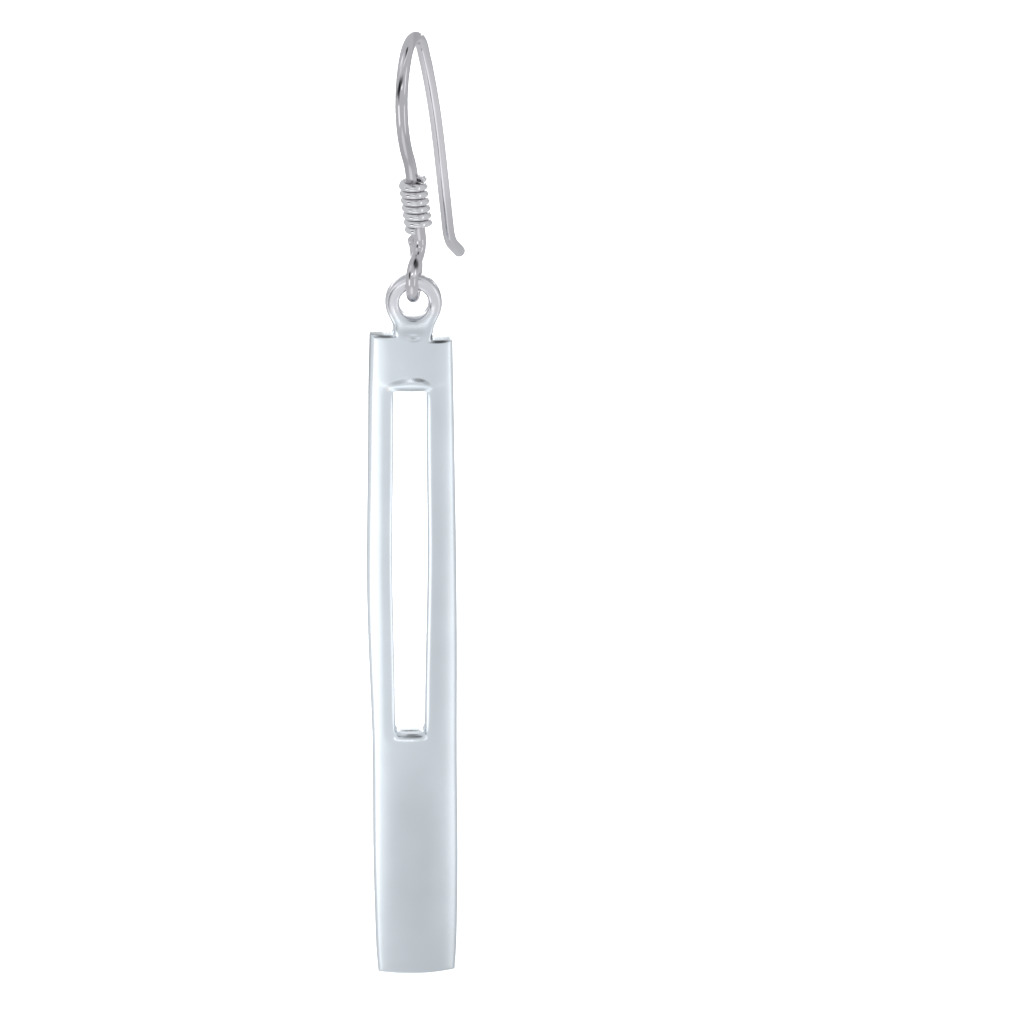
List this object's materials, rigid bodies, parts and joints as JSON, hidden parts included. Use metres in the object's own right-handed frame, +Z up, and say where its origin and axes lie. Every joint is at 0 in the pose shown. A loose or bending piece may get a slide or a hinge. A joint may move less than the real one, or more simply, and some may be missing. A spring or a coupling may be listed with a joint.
{
  "type": "bar drop earring",
  "caption": "Drop earring shown hanging: a bent wire ear hook with a fine wire coil on its shank, and a long domed bar with a tall slot that hangs by its own ring.",
  "frame": {"origin": "underside of the ear hook's crown, where the earring hangs in the ear", "axes": "+Z up, the bar's domed face towards -Y, +X to the right as the face is seen"},
  "size_m": [0.0069, 0.0111, 0.0663],
  "materials": {
    "hook_silver": "polished silver wire",
    "coil_silver": "polished silver wire",
    "bar_silver": "polished cast silver"
  },
  "bodies": {
    "hook": {"ear_hook": "hook_silver", "wire_coil": "coil_silver"},
    "drop": {"bar_drop": "bar_silver"}
  },
  "joints": [
    {"name": "drop_swing", "type": "hinge", "parent": "hook", "child": "drop", "pos_m": [0.00001, 0.00157, -0.01695], "axis": [0, 1, 0], "range_deg": [-115, 115]}
  ]
}
